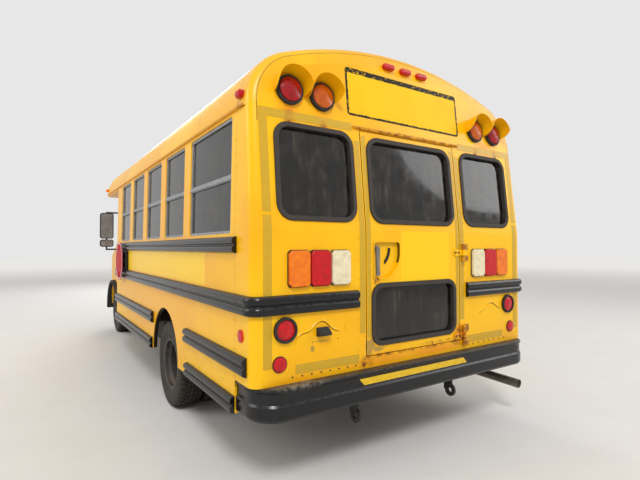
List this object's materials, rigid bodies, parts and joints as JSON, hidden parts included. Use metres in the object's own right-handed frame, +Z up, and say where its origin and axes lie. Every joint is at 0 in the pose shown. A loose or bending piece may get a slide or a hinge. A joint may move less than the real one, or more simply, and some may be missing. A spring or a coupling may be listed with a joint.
{
  "type": "short school bus",
  "caption": "Short yellow school bus on a van chassis, with hinged rear exit, entry leaves, hood, stop arm and steered front wheels.",
  "frame": {"origin": "centre of the footprint on the floor", "axes": "+X to the driver's (left) side, +Y to the rear, +Z up; the nose points to -Y"},
  "size_m": [2.572, 6.72, 2.7318],
  "materials": {
    "body_yellow": "gloss, weathered",
    "black_enamel": "gloss",
    "tinted_glass": "smooth, dark tint",
    "sash_aluminium": "satin",
    "gasket_rubber": "matte",
    "floor_rubber": "ribbed, matte",
    "tyre": "matte",
    "rim_paint": "dusty",
    "forged_steel": "satin",
    "chassis_black": "satin, dusty",
    "engine_iron": "rough",
    "exhaust_steel": "rust-tinted",
    "lens_red": "ribbed lens",
    "lens_amber": "ribbed lens",
    "lens_clear": "ribbed lens",
    "black_plastic": "grained",
    "mirror_silver": "polished",
    "sign_red": "reflective sheet",
    "seat_vinyl": "grained vinyl"
  },
  "bodies": {
    "bus": {"amber_lenses": "lens_amber", "bumpers": "black_enamel", "cab_shell": "body_yellow", "chassis_frame": "chassis_black", "clear_lenses": "lens_clear", "dashboard": "black_plastic", "drip_rails": "body_yellow", "entry_steps": "floor_rubber", "entry_surround": "body_yellow", "exhaust": "exhaust_steel", "fender_flares": "black_plastic", "floor_pan": "floor_rubber", "front_suspension": "chassis_black", "fuel_tank": "chassis_black", "grille": "black_plastic", "hinge_straps": "body_yellow", "lamp_bezels": "black_plastic", "lamp_hoods": "body_yellow", "mirror_glass": "mirror_silver", "mirrors": "black_plastic", "powertrain": "engine_iron", "rear_suspension": "chassis_black", "rear_wall": "body_yellow", "red_lenses": "lens_red", "roof_shell": "body_yellow", "rub_rails": "black_enamel", "seat_cushions": "seat_vinyl", "seat_frames": "chassis_black", "side_wall_left": "body_yellow", "side_wall_right": "body_yellow", "stop_arm_bracket": "black_enamel", "window_gaskets": "gasket_rubber", "window_glass": "tinted_glass", "window_sashes": "sash_aluminium", "windscreen": "tinted_glass"},
    "knuckle_left": {"knuckle_left": "forged_steel"},
    "knuckle_right": {"knuckle_right": "forged_steel"},
    "front_wheel_left": {"front_tyre_left": "tyre", "front_rim_left": "rim_paint"},
    "front_wheel_right": {"front_tyre_right": "tyre", "front_rim_right": "rim_paint"},
    "rear_wheels_left": {"rear_tyres_left": "tyre", "rear_rims_left": "rim_paint"},
    "rear_wheels_right": {"rear_tyres_right": "tyre", "rear_rims_right": "rim_paint"},
    "emergency_door": {"emergency_door": "body_yellow", "emergency_door_glass": "tinted_glass", "emergency_door_gaskets": "gasket_rubber", "door_handle": "forged_steel", "handle_guide": "black_enamel"},
    "driver_door": {"driver_door": "body_yellow", "driver_door_glass": "tinted_glass"},
    "entry_leaf_front": {"entry_leaf_front": "black_enamel", "entry_leaf_glass_front": "tinted_glass"},
    "entry_leaf_rear": {"entry_leaf_rear": "black_enamel", "entry_leaf_glass_rear": "tinted_glass"},
    "hood": {"hood": "body_yellow"},
    "stop_arm": {"stop_arm": "sign_red"},
    "steering_wheel": {"steering_wheel": "black_plastic"}
  },
  "joints": [
    {"name": "steer_left", "type": "hinge", "parent": "bus", "child": "knuckle_left", "pos_m": [0.76, -2.579, 0.3715], "axis": [0, 0, 1], "range_deg": [-32, 32]},
    {"name": "steer_right", "type": "hinge", "parent": "bus", "child": "knuckle_right", "pos_m": [-0.76, -2.579, 0.3715], "axis": [0, 0, 1], "range_deg": [-32, 32]},
    {"name": "steering_wheel_turn", "type": "hinge", "parent": "bus", "child": "steering_wheel", "pos_m": [0.47, -1.965, 1.29], "axis": [0, 0.848, 0.5299], "range_deg": [-540, 540]},
    {"name": "front_wheel_left_roll", "type": "hinge", "parent": "knuckle_left", "child": "front_wheel_left", "pos_m": [0.8735, -2.579, 0.3715], "axis": [1, 0, 0], "continuous": true},
    {"name": "front_wheel_right_roll", "type": "hinge", "parent": "knuckle_right", "child": "front_wheel_right", "pos_m": [-0.8735, -2.579, 0.3715], "axis": [1, 0, 0], "continuous": true},
    {"name": "rear_wheels_left_roll", "type": "hinge", "parent": "bus", "child": "rear_wheels_left", "pos_m": [0.9325, 1.434, 0.3715], "axis": [1, 0, 0], "continuous": true},
    {"name": "rear_wheels_right_roll", "type": "hinge", "parent": "bus", "child": "rear_wheels_right", "pos_m": [-0.9325, 1.434, 0.3715], "axis": [1, 0, 0], "continuous": true},
    {"name": "emergency_door_swing", "type": "hinge", "parent": "bus", "child": "emergency_door", "pos_m": [-0.475, 3.306, 1.35], "axis": [0, 0, 1], "range_deg": [0, 110]},
    {"name": "driver_door_swing", "type": "hinge", "parent": "bus", "child": "driver_door", "pos_m": [1.012, -2.091, 1.2], "axis": [0, 0, -1], "range_deg": [0, 68]},
    {"name": "entry_leaf_front_swing", "type": "hinge", "parent": "bus", "child": "entry_leaf_front", "pos_m": [-1.226, -1.826, 1.2], "axis": [0, 0, 1], "range_deg": [0, 95]},
    {"name": "entry_leaf_rear_swing", "type": "hinge", "parent": "bus", "child": "entry_leaf_rear", "pos_m": [-1.226, -1.106, 1.2], "axis": [0, 0, -1], "range_deg": [0, 95]},
    {"name": "hood_lift", "type": "hinge", "parent": "bus", "child": "hood", "pos_m": [0, -2.6927, 1.391], "axis": [-1, 0, 0], "range_deg": [0, 55]},
    {"name": "stop_arm_swing", "type": "hinge", "parent": "bus", "child": "stop_arm", "pos_m": [1.264, -0.7205, 1.233], "axis": [0, 0, -1], "range_deg": [0, 90]}
  ],
  "couplings": [
    {"joint": "steer_right", "follows": "steer_left", "ratio": 1},
    {"joint": "steering_wheel_turn", "follows": "steer_left", "ratio": 16.875}
  ]
}
